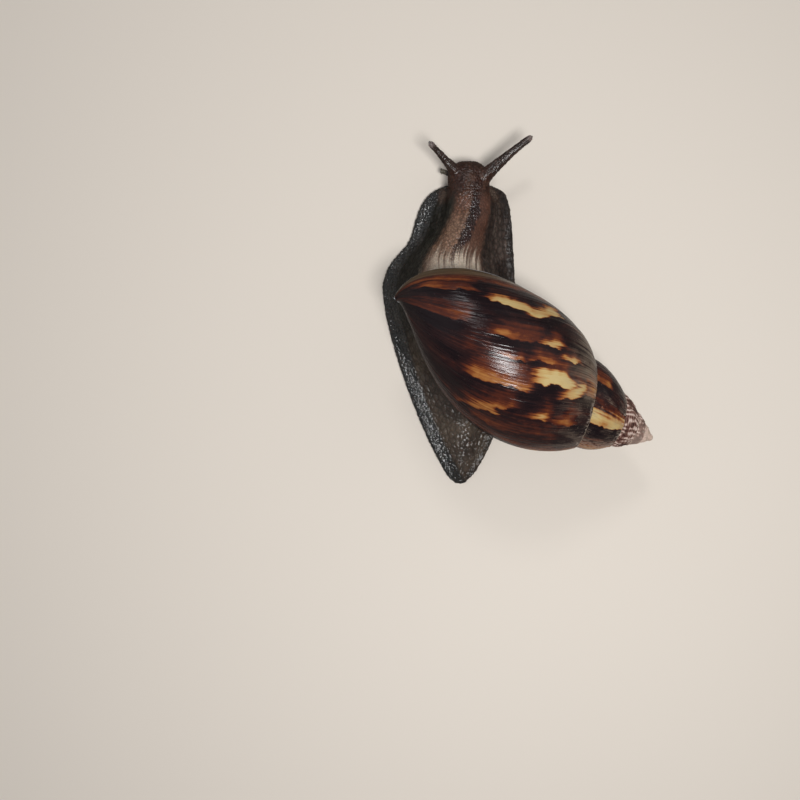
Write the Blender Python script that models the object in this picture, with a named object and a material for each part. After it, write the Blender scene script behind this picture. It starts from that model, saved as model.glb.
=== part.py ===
"""Giant African land snail, crawling: the shell, the mantle in its mouth, and the parts of the body.

Metres, +Z up. The snail crawls along +Y on the plane z = 0, its shell slung across its back with the
apex behind and to the right (+X). Every part is one closed solid, and neighbours keep a gap of 0.3 mm.
"""

import math

import bmesh
import bpy
import numpy as np
from mathutils import Vector

GAP = 0.0003

# The shell: a right-handed spiral. Lengths along its axis are shares of SHELL_LENGTH from the apex.
SHELL_LENGTH = 0.0915
WHORLS = 6
LENGTH_GROWTH = 1.78  # each whorl starts this many times further from the apex than the last
GIRTH_GROWTH = 1.60  # and is this many times as wide
SUTURE_AT_LIP = 0.333  # where the seam between whorls would reach the lip on an even spiral
SUTURE_DROP = 0.022  # how much further down it comes, over the last half whorl
RADIUS_AT_LIP = 0.274
BASE_WHORL_BACK = 0.64  # where the base stood one whorl before the lip
WIDEST = 0.36  # share of a whorl's height at which it is widest
SHOULDER = (0.85, 0.65)  # how slowly the wall swells below a seam, in the early shell and at the lip
APEX_SEAM = 0.62  # radius over height where the spiral starts
FULLNESS = (0.50, 0.74)  # how the base rounds in, at the lip and half a whorl before it
BASE_LEAN = 0.07  # how far the base tip leans over towards the lip
LIP_SWEEP = math.radians(54)  # how far the lip's lower end is swept back round the axis
LIP_CURVE = 1.4  # how much of that sweep is near the lip's top end
LIP_WALL = 0.0011
MOUTH_MARGIN = (2.8, 3.8)  # wall left above and below the mouth, in lip walls
MOUTH_DEPTH = math.radians(20)  # how far back the mantle fills the mouth of the shell

# How the shell is carried.
APEX = Vector((0.0782, -0.0120, 0.0184))
SHELL_HEADING = math.radians(23.5)  # the axis, from straight across the body
SHELL_DROOP = math.radians(10)  # the apex hangs lower than the base
LIP_TURN = math.radians(122)  # the lip's top end, from straight up round to the front

# Mesh fineness.
STEPS = 40  # sections in one whorl
BAND = 4  # points from a seam to the next
BELOW = 10  # points from there to the base
RING = 36  # points round the body
ROUND = 12  # points round a feeler

# The body by stations along Y: left edge, right edge, ridge centre, ridge half width, ridge height.
BODY_STATIONS = {
    -0.0275: (0.0180, 0.0212, 0.0196, 0.0006, 0.0014),
    -0.0255: (0.0160, 0.0234, 0.0197, 0.0012, 0.0026),
    -0.0200: (0.0127, 0.0270, 0.0199, 0.0028, 0.0044),
    -0.0090: (0.0074, 0.0322, 0.0202, 0.0055, 0.0075),
    0.0060: (0.0016, 0.0352, 0.0202, 0.0090, 0.0130),
    0.0200: (-0.0028, 0.0368, 0.0196, 0.0135, 0.0220),
    0.0310: (-0.0052, 0.0378, 0.0166, 0.0140, 0.0284),
    0.0390: (-0.0055, 0.0379, 0.0155, 0.0125, 0.0284),
    0.0440: (-0.0036, 0.0376, 0.0158, 0.0110, 0.0252),
    0.0520: (0.0028, 0.0372, 0.0192, 0.0088, 0.0206),
    0.0600: (0.0054, 0.0366, 0.0220, 0.0077, 0.0172),
    0.0650: (0.0076, 0.0356, 0.0224, 0.0074, 0.0130),
    0.0685: (0.0110, 0.0338, 0.0224, 0.0062, 0.0062),
    0.0705: (0.0150, 0.0300, 0.0225, 0.0040, 0.0036),
}
STALK_FOOT = Vector((0.0178, 0.0210, 0.0030))
STALK_SIZE = (0.0150, 0.0165)  # half widths of its root, across and along the body
STALK_FLARE = 1.6  # how late it widens on its way up
FRINGE = 0.0024  # thickness of the foot's thin edge
RIDGE_RISE = 0.45  # share of the ridge's height that is left at its half width
TAIL_CUT = -0.0080
NECK_CUT = 0.0400
HEAD_CUT = 0.0615
FOOT_CUT = 0.0042  # height at which the foot is parted from what it carries

# The head by stations along Y: centre across, centre height, half width, half height.
HEAD_STATIONS = {
    0.0560: (0.0214, 0.0094, 0.0078, 0.0082),
    0.0620: (0.0221, 0.0092, 0.0072, 0.0074),
    0.0680: (0.0220, 0.0091, 0.0067, 0.0065),
    0.0716: (0.0219, 0.0088, 0.0066, 0.0059),
    0.0745: (0.0219, 0.0083, 0.0056, 0.0048),
    0.0763: (0.0219, 0.0079, 0.0032, 0.0026),
}

# Feelers: root, a point on the way and tip, then the radii at the root, along the stem and at the tip.
FEELER_LINES = {
    "upper_left": ((0.0178, 0.0722, 0.0120), (0.0134, 0.0760, 0.0158), (0.0090, 0.0797, 0.0192)),
    "upper_right": ((0.0266, 0.0708, 0.0120), (0.0340, 0.0768, 0.0150), (0.0412, 0.0822, 0.0164)),
    "lower_left": ((0.0176, 0.0722, 0.0062), (0.0150, 0.0738, 0.0050), (0.0132, 0.0744, 0.0042)),
    "lower_right": ((0.0266, 0.0722, 0.0062), (0.0294, 0.0742, 0.0050), (0.0310, 0.0756, 0.0042)),
}
FEELER_RADII = {
    "upper_left": (0.0024, 0.0011, 0.0009),
    "upper_right": (0.0027, 0.0014, 0.0010),
    "lower_left": (0.0012, 0.0009, 0.0008),
    "lower_right": (0.0012, 0.0009, 0.0008),
}
EYE_RADIUS = 0.0004
LIP_SIZE = Vector((0.0031, 0.0019, 0.0024))
LIP_PLACE = Vector((0.0219, 0.0753, 0.0057))


def clear_scene():
    for thing in list(bpy.data.objects):
        bpy.data.objects.remove(thing)


def finish_of(name, colour, roughness):
    material = bpy.data.materials.new(name)
    material.use_nodes = True
    shader = material.node_tree.nodes["Principled BSDF"]
    shader.inputs["Base Color"].default_value = (*colour, 1)
    shader.inputs["Roughness"].default_value = roughness
    shader.inputs["Metallic"].default_value = 0
    return material


def solid(name, points, faces, material=None):
    """A closed mesh object with its faces turned outwards and shaded smooth."""
    mesh = bpy.data.meshes.new(name)
    mesh.from_pydata([tuple(p) for p in points], [], faces)
    work = bmesh.new()
    work.from_mesh(mesh)
    bmesh.ops.recalc_face_normals(work, faces=work.faces)
    bmesh.ops.triangulate(work, faces=work.faces)
    work.to_mesh(mesh)
    work.free()
    mesh.shade_smooth()
    if material:
        mesh.materials.append(material)
    piece = bpy.data.objects.new(name, mesh)
    bpy.context.scene.collection.objects.link(piece)
    return piece


def as_cutter(piece):
    piece.hide_render = True
    piece.display_type = "WIRE"
    return piece


def grown(piece, name, distance):
    """A hidden copy of a piece whose surface stands a little further out, to cut room for that piece."""
    copy = bpy.data.objects.new(name, piece.data.copy())
    bpy.context.scene.collection.objects.link(copy)
    work = bmesh.new()
    work.from_mesh(copy.data)
    work.normal_update()
    for vertex in work.verts:
        vertex.co += vertex.normal * distance
    work.to_mesh(copy.data)
    work.free()
    return as_cutter(copy)


def combine(piece, other, operation):
    step = piece.modifiers.new(operation.lower(), "BOOLEAN")
    step.operation = operation
    step.object = other
    step.solver = "EXACT"


def block(name, low, high):
    """A hidden box, given by its lowest and highest corners."""
    corners = [(x, y, z) for x in (low[0], high[0]) for y in (low[1], high[1]) for z in (low[2], high[2])]
    faces = [(0, 1, 3, 2), (4, 6, 7, 5), (0, 4, 5, 1), (2, 3, 7, 6), (0, 2, 6, 4), (1, 5, 7, 3)]
    return as_cutter(solid(name, corners, faces))


def skinned(rings, flat_ends=False):
    """Points and faces of a closed skin over rings of equally many points.

    Each end is closed by a fan round its middle, or by rungs across it where a ring is a long flat loop."""
    count = len(rings[0])
    points = [p for ring in rings for p in ring]
    faces = []
    for row in range(len(rings) - 1):
        for i in range(count):
            a = row * count + i
            b = row * count + (i + 1) % count
            faces.append((a, b, b + count, a + count))
    for first in (0, (len(rings) - 1) * count):
        if flat_ends:
            rungs = [(first + i, first + count - 1 - i) for i in range(count // 2)]
            faces += [(*rungs[i], *rungs[i + 1][::-1]) for i in range(len(rungs) - 1)]
            continue
        points.append(np.mean(rings[first // count], axis=0))
        faces += [(first + i, first + (i + 1) % count, len(points) - 1) for i in range(count)]
    return points, faces


def between(stations, at):
    """The station values at a place, on smooth curves through the stations."""
    places = sorted(stations)
    rows = np.array([stations[p] for p in places], float)
    slopes = np.gradient(rows, places, axis=0)
    i = min(max(int(np.searchsorted(places, at)) - 1, 0), len(places) - 2)
    span = places[i + 1] - places[i]
    t = (at - places[i]) / span
    start = (1 + 2 * t) * (1 - t) ** 2 * rows[i] + t * (1 - t) ** 2 * span * slopes[i]
    end = t * t * (3 - 2 * t) * rows[i + 1] + t * t * (t - 1) * span * slopes[i + 1]
    return start + end


# ---- the shell ----


def lateness(turn):
    """0 in the early shell, rising to 1 over the last half whorl, where the tube sinks and swells."""
    share = min(max((turn + 0.75) / 0.55, 0), 1)
    return share * share * (3 - 2 * share)


def suture_height(turn):
    return SUTURE_AT_LIP * LENGTH_GROWTH**turn + SUTURE_DROP * lateness(turn)


def base_height(turn):
    if turn < -1:
        return BASE_WHORL_BACK * LENGTH_GROWTH ** (turn + 1)
    return 1 - (1 - BASE_WHORL_BACK) * turn**2


def whorl_radius(turn, height, depth=9):
    """Distance from the axis to the outer wall. Turn is counted in whorls and is 0 at the lip."""
    top = suture_height(turn)
    base = base_height(turn)
    waist = top + WIDEST * (base - top)
    girth = RADIUS_AT_LIP * GIRTH_GROWTH**turn
    if height <= waist:
        seam = whorl_radius(turn - 1, top, depth - 1) if depth else APEX_SEAM * top
        share = max(height - top, 0) / (waist - top)
        shoulder = SHOULDER[0] + (SHOULDER[1] - SHOULDER[0]) * lateness(turn)
        return seam + (girth - seam) * math.sin(math.pi / 2 * share**shoulder)
    share = min((height - waist) / (base - waist), 1)
    fullness = FULLNESS[1] + (FULLNESS[0] - FULLNESS[1]) * max(1 + 2 * turn, 0)
    return girth * (1 - share**2) ** fullness


def lip_lag(turn, height):
    """How far the growth line at this turn lags behind its own top end, round the axis."""
    share = (height - suture_height(turn)) / (base_height(turn) - suture_height(turn))
    return LIP_SWEEP * (1 - (1 - min(max(share, 0), 1)) ** LIP_CURVE) * max(1 + turn, 0)


def shell_point(angle, height, radius):
    """A point from its angle round the axis from the lip's top end, height along it and radius."""
    along = Vector((-math.cos(SHELL_HEADING), math.sin(SHELL_HEADING), 0)) * math.cos(SHELL_DROOP)
    along.z = math.sin(SHELL_DROOP)
    front = Vector((math.sin(SHELL_HEADING), math.cos(SHELL_HEADING), 0))
    up = front.cross(along)
    up = -up if up.z < 0 else up
    lean = BASE_LEAN * (2 * max(height - 0.5, 0)) ** 2
    turned = LIP_TURN + angle
    across = up * (radius * math.cos(turned)) + front * (radius * math.sin(turned) + lean)
    return APEX + (along * height + across) * SHELL_LENGTH


def wall_heights(turn):
    """Heights of the mesh points from a whorl's seam to where the next seam will lie, then to its base."""
    top = suture_height(turn)
    seam = suture_height(turn + 1)
    heights = list(np.linspace(top, seam, BAND + 1))
    if turn >= -1:
        share = np.sin(math.pi / 2 * np.linspace(0, 1, BELOW + 1)[1:])
        heights += list(seam + (base_height(turn) - seam) * share)
    return heights


def shell_surface():
    """The outer wall as one spiral strip, each whorl sewn to the next along the seam, closed at the mouth."""
    points = [shell_point(0, 0, 0)]
    index = {}
    first = -WHORLS * STEPS
    for step in range(first, 1):
        turn = step / STEPS
        for column, height in enumerate(wall_heights(turn)):
            if column == BAND and step <= -STEPS:
                continue
            angle = 2 * math.pi * turn - lip_lag(turn, height)
            index[step, column] = len(points)
            points.append(shell_point(angle, height, whorl_radius(turn, height)))
    for step in range(first, 1 - STEPS):
        index[step, BAND] = index[step + STEPS, 0]
    last = BAND + BELOW
    faces = []
    for step in range(first, 0):
        for column in range(last if step >= -STEPS else BAND):
            corners = [(step, column), (step, column + 1), (step + 1, column + 1), (step + 1, column)]
            faces.append(tuple(index[c] for c in corners))
    faces += [(0, index[step, 0], index[step + 1, 0]) for step in range(first, first + STEPS)]
    faces += [(0, index[first, column + 1], index[first, column]) for column in range(BAND)]
    lip = [(height, index[0, column]) for column, height in enumerate(wall_heights(0))]
    inner = [(height, index[-STEPS, BAND + i]) for i, height in enumerate(wall_heights(-1)[BAND:])]
    inner += [(base_height(step / STEPS), index[step, last]) for step in range(1 - STEPS, 1)]
    faces += zipped(lip, inner)
    return points, faces


def zipped(left, right):
    """Triangles between two chains of (height, point) that share their ends, kept level across."""
    faces = []
    i = 0
    j = 0
    while i < len(left) - 1 or j < len(right) - 1:
        if j == len(right) - 1 or (i < len(left) - 1 and left[i + 1][0] <= right[j + 1][0]):
            face = (left[i][1], left[i + 1][1], right[j][1])
            i += 1
        else:
            face = (left[i][1], right[j + 1][1], right[j][1])
            j += 1
        if len(set(face)) == 3:
            faces.append(face)
    return faces


def mouth_ring(turn, spare=0.0):
    """A loop round the hollow inside the lip, down the outer wall and back along the inner one."""
    room = spare / SHELL_LENGTH
    wall = LIP_WALL / SHELL_LENGTH
    low = suture_height(turn) + MOUTH_MARGIN[0] * wall + 2 * room
    high = base_height(turn) - MOUTH_MARGIN[1] * wall - 2 * room
    outer = []
    inner = []
    for height in np.linspace(low, high, 15):
        angle = 2 * math.pi * turn - lip_lag(turn, height)
        before = angle / (2 * math.pi) - 1
        inside = 2 * wall + 2 * room
        if height < base_height(before):
            inside = max(inside, whorl_radius(before, height) + GAP / SHELL_LENGTH + 2 * room)
        outside = max(whorl_radius(turn, height) - wall - room, inside + wall - 3 * room)
        outer.append(shell_point(angle, height, outside))
        inner.append(shell_point(angle, height, inside))
    return outer + inner[::-1]


def mouth_plug(start, end, spare=0.0):
    """The hollow inside the lip, from one turn to another, or what fills it but for a little to spare."""
    return skinned([mouth_ring(turn, spare) for turn in np.linspace(start, end, 7)], flat_ends=True)


def make_shell():
    finish = finish_of("shell", (0.20, 0.09, 0.04), 0.28)
    shell = solid("shell", *shell_surface(), finish)
    mouth = as_cutter(solid("mouth_cut", *mouth_plug(-MOUTH_DEPTH / (2 * math.pi), 0.02)))
    room = grown(shell, "shell_room", 1.6 * GAP)
    combine(shell, mouth, "DIFFERENCE")
    return room


def make_mantle():
    finish = finish_of("mantle", (0.42, 0.35, 0.28), 0.40)
    start = -MOUTH_DEPTH / (2 * math.pi) + 0.003
    solid("mantle_collar", *mouth_plug(start, -0.002, 1.2 * GAP), finish)


# ---- the body ----


def body_section(y):
    """Half bell over a flat sole: a raised ridge whose flanks run out into the thin fringe of the foot."""
    left, right, centre, ridge, height = between(BODY_STATIONS, y)
    fringe = min(FRINGE, 0.55 * height)
    section = []
    upper = (RING - 8) // 2
    for side, edge in ((1, right), (-1, left)):
        reach = abs(edge - centre)
        power = math.log(RIDGE_RISE) / math.log(1 - min(ridge / reach, 0.92) ** 2)
        half = []
        for i in range(upper):
            share = math.sin(math.pi / 2 * i / upper)
            rise = (1 - share**2) ** power
            across = side * share * (reach - 0.3 * fringe)
            half.append((centre + across, y, fringe + (height - fringe) * rise))
        half.append((edge, y, 0.5 * fringe))
        half.append((edge - side * 0.25 * fringe, y, 0))
        section += half[::-1] if side > 0 else half[1:]
    middle = 0.5 * (left + right)
    section += [(middle + share * 0.5 * (left - right), y, 0) for share in (0.6, 0, -0.6)]
    return section


def head_section(y):
    centre, level, wide, tall = between(HEAD_STATIONS, y)
    section = []
    for i in range(RING - 8):
        angle = 2 * math.pi * i / (RING - 8)
        side = math.copysign(abs(math.cos(angle)) ** 0.9, math.cos(angle))
        section.append((centre + wide * side, y, level + tall * math.sin(angle)))
    return section


def body_whole(name, material):
    tail_end = np.linspace(-0.0275, -0.021, 5)
    middle = np.linspace(-0.018, 0.064, 26)
    places = np.concatenate([tail_end, middle, [0.0667, 0.0687, 0.0705]])
    return solid(name, *skinned([body_section(y) for y in places]), material)


def stalk():
    """The part of the body that rises from the foot and widens into the mouth of the shell."""
    top = [Vector(p) for p in mouth_ring(0.004)]
    middle = sum(top, Vector()) / len(top)
    rings = []
    for share in (0, 0.2, 0.4, 0.6, 0.8, 1):
        ring = []
        for point in top:
            angle = math.atan2(point.y - middle.y, point.x - middle.x)
            spread = (STALK_SIZE[0] * math.cos(angle), STALK_SIZE[1] * math.sin(angle), 0)
            foot = STALK_FOOT + Vector(spread)
            place = foot.lerp(point, share**STALK_FLARE)
            place.z = foot.z + (point.z - foot.z) * share
            ring.append(place)
        rings.append(ring)
    return as_cutter(solid("stalk", *skinned(rings, flat_ends=True)))


def cut_out(piece, low, high, rooms):
    """Keeps what lies in a box and takes away the room of the neighbours."""
    combine(piece, block(piece.name + "_box", low, high), "INTERSECT")
    for room in rooms:
        combine(piece, room, "DIFFERENCE")


def make_body(shell_room):
    skin = finish_of("skin", (0.16, 0.10, 0.075), 0.35)
    sole = finish_of("foot", (0.10, 0.075, 0.065), 0.40)
    wide = 0.1
    half = GAP / 2
    parts = {
        "tail": (skin, -wide, TAIL_CUT - half, -wide, wide),
        "foot": (sole, TAIL_CUT + half, wide, -wide, FOOT_CUT - half),
        "trunk": (skin, TAIL_CUT + half, NECK_CUT - half, FOOT_CUT + half, wide),
        "neck": (skin, NECK_CUT + half, HEAD_CUT - half, FOOT_CUT + half, wide),
    }
    raised = stalk()
    for name, (material, back, front, low, high) in parts.items():
        piece = body_whole(name, material)
        if name in ("trunk", "neck"):
            combine(piece, raised, "UNION")
        cut_out(piece, (-wide, back, low), (wide, front, high), [shell_room])


def make_head(rooms):
    skin = finish_of("head_skin", (0.19, 0.11, 0.075), 0.35)
    places = np.concatenate([np.linspace(0.056, 0.072, 9), [0.0736, 0.0748, 0.0757, 0.0763]])
    head = solid("head", *skinned([head_section(y) for y in places]), skin)
    combine(head, as_cutter(body_whole("head_sides", None)), "UNION")
    wide = 0.1
    cut_out(head, (-wide, HEAD_CUT + GAP / 2, FOOT_CUT + GAP / 2), (wide, wide, wide), rooms)


def feeler(name, root, way, tip, wide, stem, end, material=None, spare=0.0):
    """A round stalk on a bent line, thick at its root and with a rounded knob for a tip."""
    root, way, tip = Vector(root), Vector(way), Vector(tip)
    bend = 2 * way - 0.5 * (root + tip)
    rings = []
    for share in [0.11 * i for i in range(9)] + [0.94, 0.975, 0.995]:
        centre = (1 - share) ** 2 * root + 2 * share * (1 - share) * bend + share**2 * tip
        ahead = ((1 - share) * (bend - root) + share * (tip - bend)).normalized()
        side = ahead.cross(Vector((0, 0, 1))).normalized()
        over = side.cross(ahead)
        radius = stem + (wide - stem) * (1 - share) ** 3
        radius += (end - 0.82 * stem) * max(share - 0.7, 0) / 0.3 - 0.18 * stem * min(share / 0.7, 1)
        radius = radius * math.sqrt(1 - (max(share - 0.9, 0) / 0.1) ** 2) + spare
        around = [2 * math.pi * i / ROUND for i in range(ROUND)]
        rings.append([centre + (side * math.cos(a) + over * math.sin(a)) * radius for a in around])
    return solid(name, *skinned(rings), material)


def ball(name, centre, size, material=None):
    """An ellipsoid with a half-axis along each of X, Y and Z."""
    work = bmesh.new()
    bmesh.ops.create_icosphere(work, subdivisions=2, radius=1)
    points = [Vector(centre) + Vector(v.co[i] * size[i] for i in range(3)) for v in work.verts]
    faces = [tuple(v.index for v in face.verts) for face in work.faces]
    work.free()
    return solid(name, points, faces, material)


def make_feelers():
    """The four feelers, each with its eye if it has one, and the room that they take out of the head."""
    skin = finish_of("feeler_skin", (0.22, 0.14, 0.11), 0.32)
    black = finish_of("eye", (0.012, 0.010, 0.010), 0.12)
    rooms = []
    for place, (root, way, tip) in FEELER_LINES.items():
        rank, side = place.split("_")
        radii = FEELER_RADII[place]
        stem = feeler(f"{rank}_tentacle_{side}", root, way, tip, *radii, skin)
        rooms.append(as_cutter(feeler(f"{place}_room", root, way, tip, *radii, spare=1.2 * GAP)))
        if rank == "upper":
            ahead = (Vector(tip) - Vector(way)).normalized()
            centre = Vector(tip) - ahead * 0.4 * EYE_RADIUS
            ball(f"eye_{side}", centre, [EYE_RADIUS] * 3, black)
            socket = ball(f"socket_{side}", centre, [EYE_RADIUS + GAP] * 3)
            combine(stem, as_cutter(socket), "DIFFERENCE")
    return rooms


def make_mouth():
    lips = finish_of("lips", (0.25, 0.17, 0.13), 0.35)
    mouth = ball("mouth", LIP_PLACE, LIP_SIZE, lips)
    return grown(mouth, "mouth_room", 1.2 * GAP)


def centre_on_floor():
    """Moves everything so that the middle of the bottom of its box is the origin."""
    bpy.context.view_layer.update()
    graph = bpy.context.evaluated_depsgraph_get()
    shown = [o for o in bpy.context.scene.objects if not o.hide_render]
    corners = [Vector(c) for o in shown for c in o.evaluated_get(graph).bound_box]
    low = [min(c[i] for c in corners) for i in range(3)]
    high = [max(c[i] for c in corners) for i in range(3)]
    shift = Vector((-(low[0] + high[0]) / 2, -(low[1] + high[1]) / 2, -low[2]))
    for thing in bpy.context.scene.objects:
        thing.location += shift


clear_scene()
shell_room = make_shell()
make_mantle()
make_body(shell_room)
feeler_rooms = make_feelers()
mouth_room = make_mouth()
make_head([*feeler_rooms, mouth_room])
centre_on_floor()
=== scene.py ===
"""Giant African land snail, crawling: a life-size model for a museum case, on a pale studio floor."""

import math

import bpy
import numpy as np
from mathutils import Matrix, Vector


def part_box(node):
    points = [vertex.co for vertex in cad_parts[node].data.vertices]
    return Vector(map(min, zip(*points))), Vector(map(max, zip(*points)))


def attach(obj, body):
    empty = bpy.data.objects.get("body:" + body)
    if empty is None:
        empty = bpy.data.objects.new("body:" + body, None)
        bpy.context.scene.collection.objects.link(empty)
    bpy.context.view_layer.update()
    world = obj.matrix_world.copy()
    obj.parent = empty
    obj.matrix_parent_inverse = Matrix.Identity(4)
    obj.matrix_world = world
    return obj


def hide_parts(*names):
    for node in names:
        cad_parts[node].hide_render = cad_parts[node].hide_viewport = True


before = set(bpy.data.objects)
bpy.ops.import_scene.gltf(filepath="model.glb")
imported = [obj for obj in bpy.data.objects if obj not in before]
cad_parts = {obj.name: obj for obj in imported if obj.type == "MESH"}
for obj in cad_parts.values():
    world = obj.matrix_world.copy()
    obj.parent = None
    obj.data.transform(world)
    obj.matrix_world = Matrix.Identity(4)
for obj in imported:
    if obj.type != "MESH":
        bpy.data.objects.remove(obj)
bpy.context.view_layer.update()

# ---- Shell, outside ----
# The shell is lime with a thin horny coat, laid down at the lip as one long tube that winds to the right.
# It keeps every growth line, so its wall is made here the same way: turn by turn, from the apex to the lip.

foot_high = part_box("foot")[1]
START = Vector((foot_high.x - 0.03795, foot_high.y - 0.0705, 0))  # where the snail's own measures start
SHELL_LENGTH = 0.0915
LENGTH_GROWTH = 1.78  # each whorl starts this many times further from the apex than the last
GIRTH_GROWTH = 1.60  # and is this many times as wide
SEAM_AT_LIP = 0.333  # where the seam between whorls would reach the lip on an even spiral
SEAM_DROP = 0.022  # how much further down it comes, over the last half whorl
RADIUS_AT_LIP = 0.274
BASE_WHORL_BACK = 0.64  # where the base stood one whorl before the lip
WIDEST = 0.36  # share of a whorl's height at which it is widest
SHOULDER = (0.85, 0.65)  # how slowly the wall swells below a seam, in the early shell and at the lip
APEX_SEAM = 0.62  # radius of the first seam, as a share of its height
FULLNESS = (0.50, 0.74)  # how the base rounds in, at the lip and half a whorl before it
BASE_LEAN = 0.07  # how far the base leans towards the mouth
LIP_SWEEP = math.radians(54)  # how far the lip trails at its base
LIP_CURVE = 1.4  # above 1 the lip bends back soonest near the seam
APEX = (0.0782, -0.0120, 0.0184)  # from START
SHELL_HEADING = math.radians(23.5)
SHELL_DROOP = math.radians(10)
LIP_TURN = math.radians(122)
BUD_HEIGHT = 0.0135  # middle of the first bud, from the apex, in shell lengths
BUD_RADIUS = 0.0128
LIP_EDGE = 0.00045  # thickness of the wall at the lip's rounded edge
LIP_WALL = 0.0010  # and behind it
RIB_DEPTH = 0.00020  # of the old whorls
GROWTH_LINE_DEPTH = 0.000044
BEAD_DEPTH = 0.000018  # of the spiral lines of beads
DENT_DEPTH = 0.00008
SEAM_WELT = 0.00018  # height of the ridge just below each seam
# Where growth has paused, in turns, and the step that it left.
GROWTH_PAUSES = ((-0.012, 0.00010), (-0.052, 0.00020), (-0.36, 0.00004), (-0.74, 0.00006))
# Rows and columns of the wall's mesh. The spire's rows go by stretches: first turn, rows to the next.
SPIRE_ROWS = ((-7.5, 150), (-6, 260), (-5, 280), (-4, 320), (-3, 420), (-2, 640))
SPIRE_END = -0.995
SPIRE_COLUMNS = 44
LAST_ROWS = 1300
LAST_COLUMNS = 150
# How many rows behind the lip each row of the lining follows.
LINING_ROWS = (2, 4, 8, 14, 22, 34, 50, 70, 95, 125, 160, 200, 245, 295, 350)


def smooth(low, high, value):
    """0 below low and 1 above high, with an even rise between."""
    share = np.clip((value - low) / (high - low), 0, 1)
    return share * share * (3 - 2 * share)


def lateness(turn):
    """0 in the early shell, rising to 1 over the last half whorl, where the tube sinks and swells."""
    return smooth(-0.75, -0.20, turn)


def seam_height(turn):
    return SEAM_AT_LIP * LENGTH_GROWTH**turn + SEAM_DROP * lateness(turn)


def base_height(turn):
    early = BASE_WHORL_BACK * LENGTH_GROWTH ** (np.minimum(turn, -1) + 1)
    return np.where(turn < -1, early, 1 - (1 - BASE_WHORL_BACK) * turn**2)


def down_whorl(turn, height):
    """How far down its whorl a height is: 0 at the seam above and 1 at the base."""
    return (height - seam_height(turn)) / (base_height(turn) - seam_height(turn))


def mm_down(turn, height):
    """The same in millimetres from the seam."""
    return (height - seam_height(turn)) * SHELL_LENGTH * 1000


def growth_lag(turn, height):
    """The angle by which a growth line trails its top end."""
    share = np.clip(down_whorl(turn, height), 0, 1)
    return LIP_SWEEP * (1 - (1 - share) ** LIP_CURVE) * np.maximum(1 + turn, 0)


def whorl_radius(turn, height, depth=9):
    """Distance from the axis to the outer wall. Turn is counted in whorls and is 0 at the lip."""
    top = seam_height(turn)
    base = base_height(turn)
    waist = top + WIDEST * (base - top)
    girth = RADIUS_AT_LIP * GIRTH_GROWTH**turn
    seam = whorl_radius(turn - 1, top, depth - 1) if depth else APEX_SEAM * top
    share = np.clip((height - top) / (waist - top), 0, 1)
    shoulder = SHOULDER[0] + (SHOULDER[1] - SHOULDER[0]) * lateness(turn)
    above = seam + (girth - seam) * np.sin(np.pi / 2 * share**shoulder)
    share = np.clip((height - waist) / (base - waist), 0, 1)
    fullness = FULLNESS[1] + (FULLNESS[0] - FULLNESS[1]) * np.maximum(1 + 2 * turn, 0)
    return np.where(height <= waist, above, girth * (1 - share**2) ** fullness)


def shell_points(turn, height, radius):
    """Places in the frame of points on growth lines, each line swept back from its top end."""
    turned = LIP_TURN + 2 * np.pi * turn - growth_lag(turn, height)
    along = np.array((-math.cos(SHELL_HEADING), math.sin(SHELL_HEADING), 0)) * math.cos(SHELL_DROOP)
    along[2] = math.sin(SHELL_DROOP)
    front = np.array((math.sin(SHELL_HEADING), math.cos(SHELL_HEADING), 0))
    up = np.cross(front, along)
    lean = BASE_LEAN * (2 * np.maximum(height - 0.5, 0)) ** 2
    across = (radius * np.cos(turned))[..., None] * up
    across = across + (radius * np.sin(turned) + lean)[..., None] * front
    return np.array(APEX) + np.array(START) + (height[..., None] * along + across) * SHELL_LENGTH


def ripple(x, y, seed):
    """Smooth random relief, with one random value from -1 to 1 for each unit square of x and y."""
    size = 1024
    table = np.random.default_rng(seed).uniform(-1, 1, (size, size))
    i = np.floor(x).astype(int)
    j = np.floor(y).astype(int)
    s = smooth(0, 1, x - i)
    t = smooth(0, 1, y - j)
    near = table[i % size, j % size] * (1 - t) + table[i % size, (j + 1) % size] * t
    far = table[(i + 1) % size, j % size] * (1 - t) + table[(i + 1) % size, (j + 1) % size] * t
    return near * (1 - s) + far * s


def growth_lines(turn):
    """Growth lines laid down up to a turn: about 300 in the last whorl, and fewer in each one before it."""
    return 300 / 0.35 * (np.exp(0.35 * turn) - 1)


def rib_crests(turn, down):
    """The old whorls' cross ribs, broken into beads, from 0 in a gap to 1 on a crest."""
    lines = growth_lines(turn)
    bent = lines * 0.25 + 0.12 * down
    bent = bent + 0.75 * ripple(lines * 0.10, down * 0.32, 3)
    bent = bent + 0.28 * ripple(lines * 0.30, down * 0.9, 9)
    rib = 1 - np.abs(np.cos(np.pi * bent)) ** 1.5
    cord = 0.5 + 0.5 * np.cos(2 * np.pi * (down / 0.95 + 0.7 * ripple(lines * 0.2, down * 0.6, 10)))
    beaded = np.maximum(rib * (0.60 + 0.40 * cord), 0.35 * cord)
    patch = 0.55 + 0.95 * ripple(lines * 0.13, down * 0.7, 11) + 0.5 * ripple(lines * 0.42, down * 2.0, 12)
    return np.clip(beaded * np.clip(0.25 + 1.25 * patch, 0.10, 1.4), 0, 1)


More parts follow.
